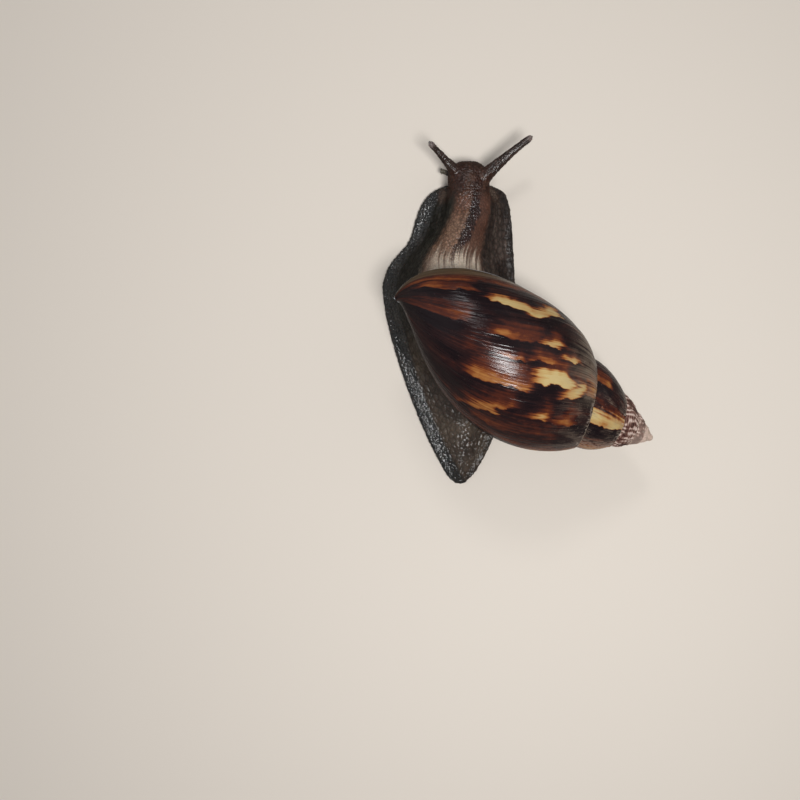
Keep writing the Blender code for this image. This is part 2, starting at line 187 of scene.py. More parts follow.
def shell_relief(turn, height):
    """Height of the sculpture over the smooth wall, in metres."""
    down = mm_down(turn, height)
    share = down_whorl(turn, height)
    lines = growth_lines(turn)
    early = smooth(-1.45, -2.1, turn)
    fine = ripple(lines * 0.9, down * 0.05, 1) + 0.8 * ripple(lines * 0.42, down * 0.04, 2)
    beads = np.sin(2 * np.pi * (down / 0.85 + 0.2 * ripple(lines * 0.12, down * 0.5, 4)))
    beads = beads * (0.5 + 0.5 * fine)
    dents = ripple(turn * 26, down * 0.11, 5) + 0.5 * ripple(turn * 55, down * 0.25, 6)
    welt = np.exp(-((down - 0.45) / 0.35) ** 2) * (0.6 + 0.5 * ripple(lines * 0.25, down * 0, 7))
    relief = GROWTH_LINE_DEPTH * fine * (1 - early) * smooth(1.0, 0.9, share)
    relief += RIB_DEPTH * (rib_crests(turn, down) - 0.5) * early
    relief += BEAD_DEPTH * beads * smooth(0.70, 0.25, share) * smooth(-0.05, -0.4, turn)
    relief += DENT_DEPTH * dents * smooth(-2.2, -0.9, turn)
    relief += SEAM_WELT * welt * smooth(-5, -2, turn)
    for pause, step in GROWTH_PAUSES:
        place = turn - pause + 0.0015 * ripple(down * 0.35, turn * 0, 8)
        relief -= step * np.exp(-np.maximum(place, 0) / 0.007) * (place > 0)
    return relief


def grid_normals(points):
    """Outward normals of a grid of points, whose rows follow each other in growing turns."""
    normals = np.cross(np.gradient(points, axis=0), np.gradient(points, axis=1))
    normals /= np.linalg.norm(normals, axis=2, keepdims=True) + 1e-12
    return normals


def spire_grid():
    """The early whorls: each row runs down a growth line from one seam to just past the next."""
    ends = [first for first, _ in SPIRE_ROWS[1:]] + [SPIRE_END]
    turns = [
        np.linspace(first, end, rows, endpoint=False) for (first, rows), end in zip(SPIRE_ROWS, ends)
    ]
    turn = np.append(np.concatenate(turns), SPIRE_END)[:, None]
    top = seam_height(turn)
    bottom = top + (seam_height(turn + 1) - top) * 1.06
    return np.broadcast_arrays(turn, top + (bottom - top) * np.linspace(0, 1, SPIRE_COLUMNS)[None])


def last_grid():
    """The last whorl down to its base, and under it the wall that the mouth opens against."""
    turn = np.linspace(-1.18, 0, LAST_ROWS)[:, None]
    top = seam_height(turn)
    seam = seam_height(turn + 1)
    bottom = seam + (base_height(turn) - seam) * smooth(-1.17, -1.0, turn)
    share = np.linspace(0, 1, LAST_COLUMNS)[None]
    share = 0.35 * share + 0.65 * np.sin(np.pi / 2 * share)
    return np.broadcast_arrays(turn, top + (bottom - top) * share)


def wall(turn, height):
    """The sculptured outside of a stretch of wall, the even wall under it, and that wall's normals."""
    points = shell_points(turn, height, whorl_radius(turn, height))
    normals = grid_normals(points)
    return points + normals * shell_relief(turn, height)[..., None], points, normals


def first_bud():
    """The rounded bud that the shell starts from, which closes its tip."""
    turn, bend = np.meshgrid(np.linspace(-8, -7, 72), np.linspace(0.03, 0.62 * np.pi, 30), indexing="ij")
    height = BUD_HEIGHT - BUD_RADIUS * np.cos(bend)
    return turn, height, shell_points(turn, height, BUD_RADIUS * np.sin(bend))


def grid_faces(rows, columns, first=0):
    corner = (np.arange(rows - 1)[:, None] * columns + np.arange(columns - 1)[None]).ravel() + first
    return np.stack([corner, corner + 1, corner + columns + 1, corner + columns], 1)


def lip_and_inside(turn, height, points, normals):
    """The lip's rounded edge and the lining behind it, as rows that carry on from the outside."""
    room = whorl_radius(turn, height) * SHELL_LENGTH
    onward = points[-1] - points[-6]
    onward /= np.linalg.norm(onward, axis=1, keepdims=True) + 1e-12
    rows = []
    thick = np.minimum(LIP_EDGE, 0.4 * room[-1])[:, None]
    for bend in np.linspace(0, np.pi, 7)[1:]:
        sunk = thick / 2 * (1 - math.cos(bend))
        rows.append(points[-1] - normals[-1] * sunk + onward * thick / 2 * math.sin(bend))
    for back in LINING_ROWS:
        wall_here = LIP_EDGE + (LIP_WALL - LIP_EDGE) * float(smooth(0, 60, back))
        thick = np.minimum(wall_here, 0.4 * room[-1 - back])[:, None]
        rows.append(points[-1 - back] - normals[-1 - back] * thick)
    return np.array(rows)


spire_turn, spire_height = spire_grid()
spire_outside = wall(spire_turn, spire_height)[0]
last_turn, last_height = last_grid()
last_outside, last_smooth, last_normals = wall(last_turn, last_height)
lining = lip_and_inside(last_turn, last_height, last_smooth, last_normals)
bud_turn, bud_height, bud_points = first_bud()
shell_grids = (spire_outside, np.concatenate([last_outside, lining]), bud_points)
shell_faces = []
first = 0
for grid in shell_grids:
    shell_faces += grid_faces(*grid.shape[:2], first).tolist()
    first += grid.shape[0] * grid.shape[1]


def in_scene(name, data):
    """A new object of the scene, from a mesh, a light or a camera."""
    made = bpy.data.objects.new(name, data)
    bpy.context.scene.collection.objects.link(made)
    return made


def mesh_object(name, points, faces):
    """A smooth-shaded object from lists of points and faces."""
    mesh = bpy.data.meshes.new(name)
    mesh.from_pydata(points, [], faces)
    mesh.shade_smooth()
    return in_scene(name, mesh)


def add_numbers(piece, name, values):
    """Stores one number, or one set of three, for each point of a mesh."""
    values = np.asarray(values, np.float32)
    kind = "FLOAT" if values.ndim == 1 else "FLOAT_VECTOR"
    layer = piece.data.attributes.new(name, kind, "POINT")
    layer.data.foreach_set("value" if kind == "FLOAT" else "vector", np.ascontiguousarray(values).ravel())


shell_places = np.concatenate([grid.reshape(-1, 3) for grid in shell_grids])
shell = mesh_object("shell_wall", shell_places.tolist(), shell_faces)
shell.data.validate()
lip_height = np.tile(last_height[-1], len(lining))
full_turn = np.concatenate([spire_turn.ravel(), last_turn.ravel(), 0 * lip_height, bud_turn.ravel()])
full_height = np.concatenate([spire_height.ravel(), last_height.ravel(), lip_height, bud_height.ravel()])
inside = np.zeros(len(full_turn))
inside[spire_turn.size + last_turn.size :][: lip_height.size] = 1
full_share = down_whorl(full_turn, full_height)
full_down = mm_down(full_turn, full_height)
add_numbers(shell, "growth", np.stack([full_turn, full_share, growth_lines(full_turn) / 10], 1))
add_numbers(shell, "down", full_down)
add_numbers(shell, "inside", inside)
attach(shell, "root")
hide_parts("shell")

# ---- Shell, colour ----
# The colour is laid down at the lip too: dark purple-brown, broken by flames that start sharply in cream
# and fade through ochre and red-brown. The oldest whorls are worn and pinkish, the inside is bluish white.

# Where a flame starts and how long it lasts, both in whorls; its reach from seam to base; its strength; and
# how much later its base end starts than its seam end, for a reach of 1.
SEEN_FLAMES = (
    (-0.139, 0.044, 0.24, 0.47, 1.45, -0.15),
    (-0.138, 0.038, 0.39, 0.68, 1.25, 0.10),
    (-0.100, 0.028, 0.32, 0.66, 0.40, 0.0),
    (-0.213, 0.019, 0.23, 0.39, 1.25, 0.0),
    (-0.211, 0.024, 0.33, 0.62, 0.58, 0.0),
    (-0.239, 0.016, 0.12, 0.27, 0.86, 0.02),
    (-0.251, 0.014, 0.24, 0.44, 0.62, 0.0),
    (-0.256, 0.012, 0.40, 0.60, 0.46, 0.0),
    (-0.299, 0.038, 0.15, 0.39, 1.35, 0.0),
    (-0.321, 0.054, 0.07, 0.20, 1.30, -0.05),
    (-0.311, 0.052, -0.06, 0.12, 0.86, 0.0),
    (-0.321, 0.044, 0.35, 0.68, 0.64, 0.0),
    (-0.404, 0.036, 0.36, 0.70, 0.58, -0.24),
    (-0.387, 0.028, 0.19, 0.32, 0.86, 0.0),
    (-0.392, 0.028, 0.06, 0.22, 0.72, 0.0),
    (-0.445, 0.040, 0.10, 0.60, 0.34, 0.0),
    (-0.510, 0.050, 0.10, 0.95, 0.34, 0.0),
    (-0.200, 0.050, 0.68, 1.00, 0.40, 0.0),
    (-0.104, 0.034, 0.66, 0.98, 0.60, 0.0),
    (-0.070, 0.046, -0.05, 1.05, 0.40, 0.0),
    (-1.247, 0.040, 0.17, 1.20, 0.62, 0.0),
    (-1.394, 0.062, -0.10, 1.20, 1.12, -0.03),
    (-1.560, 0.080, -0.10, 1.20, 0.60, 0.0),
)


def flames():
    """Those flames, and more of the same kind over the rest of the shell."""
    draw = np.random.default_rng(14)
    found = list(SEEN_FLAMES)
    start = -0.56
    while start > -6:
        if not -1.58 < start < -1.14:  # the stretch of the second whorl that has its own flames above
            low = draw.choice([-0.1, 0.12, 0.35])
            high = low + draw.uniform(0.25, 0.75)
            length = draw.uniform(0.018, 0.045)
            strength = draw.choice([0.4, 0.6, 0.8, 1.0])
            found.append((start, length, low, high, strength, 0.0))
        start -= draw.uniform(0.035, 0.085)
    return found


def pigment_of(turn, share):
    """How pale the shell is: 0 is black-brown, about 0.35 red-brown, 0.6 ochre and 1 cream."""
    hair = ripple(turn * np.where(turn < -1, 170, 640), share * 3.2, 25)
    thread = ripple(turn * np.where(turn < -1, 90, 260), share * 5, 26)
    pale = 0.09 + 0.11 * ripple(turn * 34, share * 3, 20) + 0.05 * thread + 0.05 * hair
    ragged = 0.0055 * ripple(share * 11, turn * 9, 22) + 0.005 * ripple(share * 34, turn * 40, 23)
    ragged += 0.0020 * ripple(share * 70, turn * 80, 27)
    combed = share + 0.010 * hair + 0.010 * thread + 0.030 * ripple(turn * 45, share * 5, 28)
    for start, length, low, high, strength, lean in flames():
        near = (turn > start - 0.09) & (turn < start + 5 * length + 0.09)
        t = turn[near]
        s = combed[near]
        ends = smooth(low - 0.02, low + 0.06, s) * smooth(high + 0.05, high - 0.10, s)
        patchy = 0.78 + 0.26 * ripple(share[near] * 9, t * 30 + start * 100, 24) + 0.16 * thread[near]
        leant = lean * (s - (low + high) / 2)
        age = (t - start - leant - ragged[near]) / (length * (0.45 + 0.55 * ends))
        fade = 1 - smooth(0.35, 1.30, age + 0.22 * hair[near] + 0.20 * thread[near])
        flame = strength * patchy * ends * smooth(-0.06, 0.04, age) * fade
        skirt = 1 - smooth(0.8, min(3.0, 0.10 / length), age + 0.5 * thread[near])
        skirt *= 0.34 * ends * smooth(-0.02, 0.06, age) * min(1, strength + 0.2)
        pale[near] = np.maximum(pale[near], np.minimum(np.maximum(flame, skirt), 1.02))
        pale[near] -= 0.20 * ends * np.exp(-(((age + 0.40) / 0.38) ** 2))
    return pale


add_numbers(shell, "pigment", pigment_of(full_turn, full_share))
add_numbers(shell, "rib", rib_crests(full_turn, full_down))


class Nodes:
    """Short names for building a material's node tree."""

    def __init__(self, name):
        self.material = bpy.data.materials.new(name)
        self.material.use_nodes = True
        self.tree = self.material.node_tree
        self.shader = self.tree.nodes["Principled BSDF"]

    def feed(self, node, socket, value):
        """Links a socket to another node's output, or gives it a fixed number or colour."""
        place = node.inputs[socket]
        if isinstance(value, bpy.types.NodeSocket):
            self.tree.links.new(value, place)
        else:
            place.default_value = (*value, 1) if isinstance(value, tuple) else value

    def add(self, kind, given=None, **settings):
        """A new node with its settings, and what goes into its sockets."""
        node = self.tree.nodes.new("ShaderNode" + kind)
        for key, value in settings.items():
            setattr(node, key, value)
        for socket, value in (given or {}).items():
            self.feed(node, socket, value)
        return node

    def number(self, name, part=None):
        """A stored number of the mesh, or one part, 0 to 2, of a stored set of three."""
        node = self.add("Attribute", attribute_name=name)
        if part is None:
            return node.outputs["Fac"]
        return self.add("SeparateXYZ", {0: node.outputs["Vector"]}).outputs[part]

    def math(self, work, first, second):
        return self.add("Math", {0: first, 1: second}, operation=work).outputs[0]

    def times(self, first, *others):
        for other in others:
            first = self.math("MULTIPLY", first, other)
        return first

    def plus(self, first, *others):
        for other in others:
            first = self.math("ADD", first, other)
        return first

    def swing(self, noise, amount):
        """A noise as a change of half the amount either way."""
        return self.times(self.math("SUBTRACT", noise, 0.5), amount)

    def rise(self, value, low, high):
        """0 where value is low and 1 where it is high, with an even rise between."""
        given = {"Value": value, "From Min": low, "From Max": high}
        return self.add("MapRange", given, interpolation_type="SMOOTHSTEP").outputs[0]

    def where(self, *rises):
        """1 where all of some values have risen, each given with its low and its high."""
        return self.times(*[self.rise(*given) for given in rises])

    def place(self, x, y, z=0.0):
        return self.add("CombineXYZ", {0: x, 1: y, 2: z}).outputs[0]

    def noise(self, place, scale=1.0, detail=2.0, roughness=0.5):
        given = {"Vector": place, "Scale": scale, "Detail": detail, "Roughness": roughness}
        return self.add("TexNoise", given).outputs["Fac"]

    def noise_over(self, x, often_x, y, often_y, detail=2.0, roughness=0.5):
        """Noise over two stored numbers, with so many changes for each unit of one and of the other."""
        return self.noise(self.place(self.times(x, often_x), self.times(y, often_y)), 1, detail, roughness)

    def ramp(self, value, stops):
        node = self.add("ValToRGB", {0: value})
        band = node.color_ramp
        while len(band.elements) < len(stops):
            band.elements.new(0.5)
        for element, (place, colour) in zip(band.elements, stops):
            element.position = place
            element.color = (*colour, 1)
        return node.outputs[0]

    def mix(self, share, first, second, work="MIX"):
        given = {0: share, 6: first, 7: second}
        return self.add("Mix", given, data_type="RGBA", blend_type=work).outputs[2]

    def wash(self, colour, share, strength, tint):
        """A colour with a tint laid over it, as strong as a share times a strength."""
        return self.mix(self.times(share, strength), colour, tint)

    def bump(self, height, distance, strength, under=None):
        given = {"Height": height, "Distance": distance, "Strength": strength}
        if under:
            given["Normal"] = under
        return self.add("Bump", given).outputs[0]

    def finish(self, **sockets):
        for socket, value in sockets.items():
            self.feed(self.shader, socket.replace("_", " "), value)
        return self.material


SHELL_COLOURS = (
    (0.00, (0.007, 0.0035, 0.0045)),
    (0.15, (0.018, 0.0065, 0.0065)),
    (0.29, (0.070, 0.016, 0.008)),
    (0.42, (0.175, 0.048, 0.013)),
    (0.56, (0.310, 0.132, 0.036)),
    (0.70, (0.380, 0.235, 0.094)),
    (0.86, (0.415, 0.288, 0.115)),
    (1.00, (0.440, 0.335, 0.155)),
)
OLD_COLOURS = (
    (0.18, (0.026, 0.008, 0.007)),
    (0.38, (0.090, 0.037, 0.029)),
    (0.58, (0.240, 0.145, 0.115)),
    (0.86, (0.540, 0.420, 0.365)),
)
horn = Nodes("banded_shell")
turn = horn.number("growth", 0)
share = horn.number("growth", 1)
lines = horn.number("growth", 2)
down = horn.number("down")
old = horn.rise(turn, -1.75, -2.2)
hairs = horn.noise_over(lines, 22, share, 2, 2)
streaks = horn.noise_over(lines, 8, share, 2.5, 3)
blots = horn.noise_over(turn, 85, share, 26, 4, 0.6)
tone = horn.number("pigment")
tone = horn.plus(tone, horn.swing(streaks, 0.18), horn.swing(hairs, 0.15), horn.swing(blots, 0.26))
young_colour = horn.ramp(tone, SHELL_COLOURS)
rib_tone = horn.plus(horn.times(horn.number("rib"), 0.66), horn.times(blots, 0.48))
rib_tone = horn.plus(rib_tone, horn.times(horn.math("SUBTRACT", tone, 0.2), 0.25))
old_colour = horn.ramp(rib_tone, OLD_COLOURS)
tip_share = horn.times(horn.rise(turn, -2.9, -4.2), horn.plus(0.30, horn.times(blots, 0.7)))
old_colour = horn.mix(tip_share, old_colour, (0.70, 0.53, 0.44))
colour = horn.mix(old, young_colour, old_colour)
# An old stretch of the second whorl is painted paler, partly bleaching and partly a painted grazing
# reflection, and the newest growth at the lip is still thin and olive.
bleach_and_sheen = horn.where((turn, -1.43, -1.50), (turn, -2.00, -1.85), (blots, 0.30, 0.62))
colour = horn.wash(colour, bleach_and_sheen, 0.55, (0.330, 0.235, 0.180))
fresh_colour = horn.ramp(streaks, ((0.35, (0.045, 0.030, 0.016)), (0.6, (0.140, 0.100, 0.055))))
colour = horn.wash(colour, horn.rise(turn, -0.050, -0.030), 0.60, fresh_colour)
# The horny coat is rubbed off in patches on the older whorls, and below the seam on all of them.
rubbed = horn.noise_over(turn, 30, share, 9, 5, 0.65)
worn_patch = horn.where((turn, -0.98, -1.04), (horn.noise_over(turn, 11, share, 5, 2), 0.44, 0.62))
near_seam = horn.math("MAXIMUM", horn.rise(share, 0.26, 0.02), worn_patch)
rubbed = horn.times(horn.rise(rubbed, 0.44, 0.62), near_seam, horn.rise(hairs, 0.36, 0.60))
colour = horn.wash(colour, rubbed, 0.55, (0.190, 0.138, 0.104))
# A pale band on the last whorl below the seam: partly the coat rubbed thin, partly a painted grazing
# reflection.
patches = horn.noise_over(turn, 24, share, 8, 3)
worn_edge_and_sheen = horn.where(
    (turn, -0.36, -0.26), (share, 0.25, 0.05), (streaks, 0.30, 0.62), (patches, 0.30, 0.58)
)
colour = horn.wash(colour, worn_edge_and_sheen, 0.66, (0.215, 0.168, 0.122))
chips = horn.rise(horn.noise_over(lines, 9, down, 2.2, 3, 0.6), 0.66, 0.72)
chips = horn.times(chips, horn.plus(0.10, horn.times(near_seam, 0.5)))
colour = horn.mix(chips, colour, (0.42, 0.36, 0.29))
marks = horn.where((horn.noise_over(lines, 3.6, down, 0.6, 3, 0.6), 0.50, 0.60), (down, 2.0, 0.6))
colour = horn.wash(colour, marks, 0.48, (0.42, 0.34, 0.28))
# Lime shows along the seam itself and on the lining.
seam_line = horn.plus(down, horn.times(horn.noise_over(lines, 2.4, down, 1, 3), 1.5))
seam_colour = horn.mix(streaks, (0.24, 0.17, 0.12), (0.52, 0.44, 0.34))
colour = horn.wash(colour, horn.rise(seam_line, 1.25, 0.85), 0.85, seam_colour)
lining_colour = horn.mix(streaks, (0.55, 0.55, 0.60), (0.66, 0.66, 0.68))
colour = horn.mix(horn.number("inside"), colour, lining_colour)
scratch = horn.noise_over(lines, 26, share, 9, 3, 0.6)
grit = horn.noise_over(lines, 6, down, 1.6, 4)
gloss = horn.plus(horn.times(grit, 0.16), horn.times(streaks, 0.30), horn.times(old, 0.24))
slanted = horn.add("LayerWeight").outputs["Facing"]
relief = horn.bump(scratch, 0.00006, 0.6)
relief = horn.bump(hairs, 0.00005, 0.6, relief)
relief = horn.bump(grit, 0.00008, 0.3, relief)
shell.data.materials.append(
    horn.finish(
        Base_Color=colour,
        Roughness=gloss,
        Normal=relief,
        Specular_IOR_Level=0.03,
        Coat_Weight=horn.times(horn.rise(slanted, 0.54, 0.16), 0.43),
        Coat_Roughness=0.14,
        Coat_Normal=horn.bump(streaks, 0.00016, 0.7, horn.bump(hairs, 0.00007, 0.6)),
        Coat_IOR=1.5,
        IOR=1.45,
    )
)

# ---- Flesh, form ----
# Foot, tail, neck, head and feelers are one soft muscle, full of water, under one skin. Each part is made
# as a rounded solid, and they are then grown together so that no seam is left.

# Stations along the body: left edge, right edge, ridge centre, ridge half width, ridge height.
BODY_STATIONS = {
    -0.0275: (0.0180, 0.0212, 0.0196, 0.0006, 0.0014),
    -0.0255: (0.0160, 0.0234, 0.0197, 0.0012, 0.0026),
    -0.0200: (0.0127, 0.0270, 0.0199, 0.0028, 0.0044),
    -0.0090: (0.0074, 0.0322, 0.0202, 0.0055, 0.0075),
    0.0060: (0.0016, 0.0352, 0.0202, 0.0090, 0.0130),
    0.0200: (-0.0028, 0.0368, 0.0196, 0.0135, 0.0220),
    0.0310: (-0.0052, 0.0378, 0.0166, 0.0140, 0.0284),
    0.0390: (-0.0055, 0.0379, 0.0155, 0.0125, 0.0284),
    0.0440: (-0.0036, 0.0376, 0.0158, 0.0110, 0.0252),
    0.0520: (0.0028, 0.0372, 0.0192, 0.0088, 0.0206),
    0.0600: (0.0054, 0.0366, 0.0220, 0.0077, 0.0172),
    0.0650: (0.0076, 0.0356, 0.0224, 0.0074, 0.0130),
    0.0685: (0.0110, 0.0338, 0.0224, 0.0062, 0.0062),
    0.0705: (0.0150, 0.0300, 0.0225, 0.0040, 0.0036),
}
# Stations along the head: centre across, centre height, half width, half height.
HEAD_STATIONS = {
    0.0560: (0.0214, 0.0094, 0.0078, 0.0082),
    0.0620: (0.0221, 0.0092, 0.0072, 0.0074),
    0.0680: (0.0220, 0.0091, 0.0067, 0.0065),
    0.0716: (0.0219, 0.0088, 0.0066, 0.0059),
    0.0745: (0.0219, 0.0083, 0.0056, 0.0048),
    0.0763: (0.0219, 0.0079, 0.0032, 0.0026),
}
# Feelers: root, a point on the way and tip.
FEELER_LINES = {
    "upper_left": np.array(((0.0178, 0.0722, 0.0120), (0.0134, 0.0760, 0.0158), (0.0090, 0.0797, 0.0192))),
    "upper_right": np.array(((0.0266, 0.0708, 0.0120), (0.0340, 0.0768, 0.0150), (0.0412, 0.0822, 0.0164))),
    "lower_left": np.array(((0.0176, 0.0722, 0.0062), (0.0150, 0.0738, 0.0050), (0.0132, 0.0744, 0.0042))),
    "lower_right": np.array(((0.0266, 0.0722, 0.0062), (0.0294, 0.0742, 0.0050), (0.0310, 0.0756, 0.0042))),
}
# Their radii at the root, along the stem and at the tip, and how far they blend into the head.
FEELER_RADII = {
    "upper_left": (0.0027, 0.00112, 0.00098, 0.0046),
    "upper_right": (0.0030, 0.0014, 0.0011, 0.0050),
    "lower_left": (0.0014, 0.0010, 0.0010, 0.0026),
    "lower_right": (0.0014, 0.0010, 0.0010, 0.0026),
}
FRINGE = 0.0024  # thickness of the foot's thin edge
RIDGE_RISE = 0.45  # height at the ridge's half width, as a share of its height over the fringe
# The flesh that rises into the shell: its foot, half sizes there, and how late it spreads.
STALK_FOOT = np.array((0.0178, 0.0210, 0.0030))
STALK_SIZE = (0.0150, 0.0165)
STALK_FLARE = 1.6
STALK_FILL = 0.80  # share of the mouth's width that it fills
STALK_TURNS = (0.004, -0.010, -0.025, -0.045)  # where it passes through the mouth, in turns
NECK_FOLD = np.array((0.0165, 0.0430, 0.0255))  # where the neck's ridge runs out under the shell
MOUTH_WALL = 0.0011  # thickness allowed for the shell's wall at its mouth
MOUTH_MARGIN = (2.8, 1.7)  # room left at the mouth's two ends, in wall thicknesses
MOUTH_GAP = 0.0002  # between the flesh and that wall
COARSE_STEP = 0.00055  # size of the squares of a skin as it is grown together
FINE_STEP = 0.00020
# The animal's own two lips, under its head: the middle between them and their half sizes together.
LIPS_PLACE = np.array((0.0219, 0.0752, 0.0057))
LIPS_SIZE = np.array((0.0031, 0.0020, 0.0024))


def between(stations, at):
    """The station values at a place, on smooth curves through the stations."""
    places = sorted(stations)
    rows = np.array([stations[p] for p in places], float)
    slopes = np.gradient(rows, places, axis=0)
    at = np.atleast_1d(at)
    i = np.clip(np.searchsorted(places, at) - 1, 0, len(places) - 2)
    span = np.diff(places)[i][:, None]
    t = ((at - np.array(places)[i])[:, None]) / span
    start = (1 + 2 * t) * (1 - t) ** 2 * rows[i] + t * (1 - t) ** 2 * span * slopes[i]
    end = t * t * (3 - 2 * t) * rows[i + 1] + t * t * (t - 1) * span * slopes[i + 1]
    return start + end


def body_section(y):
    """Half bell over a flat sole: a raised ridge whose flanks run out into the thin fringe of the foot."""
    left, right, centre, ridge, height = between(BODY_STATIONS, y)[0]
    fringe = min(FRINGE, 0.55 * height)
    share = np.sin(np.pi / 2 * np.linspace(0, 1, 60, endpoint=False))
    section = []
    for side, edge in ((1, right), (-1, left)):
        reach = abs(edge - centre)
        power = math.log(RIDGE_RISE) / math.log(1 - min(ridge / reach, 0.92) ** 2)
        across = centre + side * share * (reach - 0.3 * fringe)
        half = [(x, y, fringe + (height - fringe) * (1 - k * k) ** power) for x, k in zip(across, share)]
        half += [(edge - side * 0.06 * fringe, y, 0.8 * fringe), (edge, y, 0.5 * fringe)]
        half += [(edge - side * 0.06 * fringe, y, 0.2 * fringe), (edge - side * 0.25 * fringe, y, 0)]
        section += half[::-1] if side > 0 else half[1:]
    middle = 0.5 * (left + right)
    section += [(middle + k * 0.5 * (left - right), y, 0) for k in (0.8, 0.4, 0, -0.4, -0.8)]
    return section


def head_section(y):
    centre, level, wide, tall = between(HEAD_STATIONS, y)[0]
    angle = np.linspace(0, 2 * np.pi, 96, endpoint=False)
    side = np.sign(np.cos(angle)) * np.abs(np.cos(angle)) ** 0.9
    return np.stack([centre + wide * side, np.full(96, y), level + tall * np.sin(angle)], 1)


def mouth_loop(turn, spare, count=70):
    """A loop round the hollow inside the shell's lip, down the outer wall and back along the inner one."""
    room = spare / SHELL_LENGTH
    wall_share = MOUTH_WALL / SHELL_LENGTH
    low = seam_height(turn) + MOUTH_MARGIN[0] * wall_share + 2 * room
    high = base_height(turn) - MOUTH_MARGIN[1] * wall_share - 2 * room
    height = np.linspace(low, high, count)
    before = turn - growth_lag(turn, height) / (2 * np.pi) - 1
    under = np.where(height < base_height(before), whorl_radius(before, height) + 2 * room, 0)
    inner = np.maximum(2 * wall_share + 2 * room, under)
    outer = np.maximum(whorl_radius(np.full(count, turn), height) - wall_share - room, inner + wall_share)
    turns = np.full(count, turn)
    return np.concatenate([shell_points(turns, height, outer), shell_points(turns, height, inner)[::-1]])


def drawn_in(loop, share):
    """A mouth loop drawn in towards its own middle line."""
    middle = 0.5 * (loop + loop[::-1])
    ends = loop.mean(0)
    narrow = middle + (loop - middle) * share
    return ends + (narrow - ends) * (1 - 0.35 * (1 - share))


def closed_skin(rings, flat_ends=False):
    """Points and faces of a closed skin over rings of equally many points."""
    rings = [np.asarray(ring, float) for ring in rings]
    count = len(rings[0])
    points = [p for ring in rings for p in ring]
    faces = []
    for row in range(len(rings) - 1):
        for i in range(count):
            a = row * count + i
            b = row * count + (i + 1) % count
            faces.append((a, b, b + count, a + count))
    for first in (0, (len(rings) - 1) * count):
        if flat_ends:
            rungs = [(first + i, first + count - 1 - i) for i in range(count // 2)]
            faces += [(*rungs[i], *rungs[i + 1][::-1]) for i in range(len(rungs) - 1)]
            continue
        points.append(rings[first // count].mean(0))
        faces += [(first + i, first + (i + 1) % count, len(points) - 1) for i in range(count)]
    return points, faces


def feeler_rings(root, way, tip, wide, stem, end):
    """A round stalk on a bent line, thick at its root and with a rounded knob for a tip."""
    root, way, tip = Vector(root), Vector(way), Vector(tip)
    root = root - (way - root) * 0.25
    bend = 2 * way - 0.5 * (root + tip)
    shares = [float(k) for k in np.linspace(0, 0.9, 46)]
    shares += [0.9 + 0.0995 * math.sin(k / 10 * math.pi / 2) for k in range(1, 11)]
    rings = []
    for share in shares:
        centre = (1 - share) ** 2 * root + 2 * share * (1 - share) * bend + share**2 * tip
        ahead = ((1 - share) * (bend - root) + share * (tip - bend)).normalized()
        side = ahead.cross(Vector((0, 0, 1))).normalized()
        over = side.cross(ahead)
        radius = stem + (wide - stem) * (1 - share) ** 3
        radius += (end - 0.80 * stem) * float(smooth(0.72, 0.90, share)) - 0.20 * stem * min(share / 0.7, 1)
        radius *= math.sqrt(max(1 - (max(share - 0.9, 0) / 0.1) ** 2, 0.0001))
        around = [2 * math.pi * i / 40 for i in range(40)]
        rings.append([tuple(centre + (side * math.cos(a) + over * math.sin(a)) * radius) for a in around])
    return rings


def ball_rings(centre, size, count=48):
    around = np.linspace(0, 2 * np.pi, count, endpoint=False)
    rings = []
    for level in np.linspace(0, np.pi, 30)[1:-1]:
        wide = math.sin(level)
        tall = np.full(count, math.cos(level))
        ring = np.stack([np.cos(around) * wide, tall, np.sin(around) * wide], 1)
        rings.append(centre + ring * size)
    return rings


def grown_together(name, skins, voxel):
    """One closed mesh object over several closed skins, as even small squares."""
    points = []
    faces = []
    for more, joined in skins:
        faces += [tuple(i + len(points) for i in face) for face in joined]
        points += [tuple(p) for p in more]
    piece = mesh_object(name, points, faces)
    step = piece.modifiers.new("grow", "REMESH")
    step.mode = "VOXEL"
    step.voxel_size = voxel
    apply_steps(piece)
    return piece


def apply_steps(piece):
    graph = bpy.context.evaluated_depsgraph_get()
    made = bpy.data.meshes.new_from_object(piece.evaluated_get(graph))
    old = piece.data
    piece.modifiers.clear()
    piece.data = made
    bpy.data.meshes.remove(old)


def soften(piece, rounds, weights=None):
    """Evens out the surface, everywhere or by a weight for each point."""
    step = piece.modifiers.new("soften", "SMOOTH")
    step.factor = 0.5
    step.iterations = rounds
    if weights is not None:
        group = piece.vertex_groups.new(name="soft")
        for level in range(1, 9):
            chosen = np.flatnonzero(np.round(weights * 8) == level)
            group.add(chosen.tolist(), level / 8, "REPLACE")
        step.vertex_group = "soft"
    apply_steps(piece)
    piece.vertex_groups.clear()


def of_points(piece, what="co"):
    """The places of a mesh's points, or their normals."""
    found = np.zeros(len(piece.data.vertices) * 3, np.float32)
    piece.data.vertices.foreach_get(what, found)
    return found.reshape(-1, 3).astype(float)


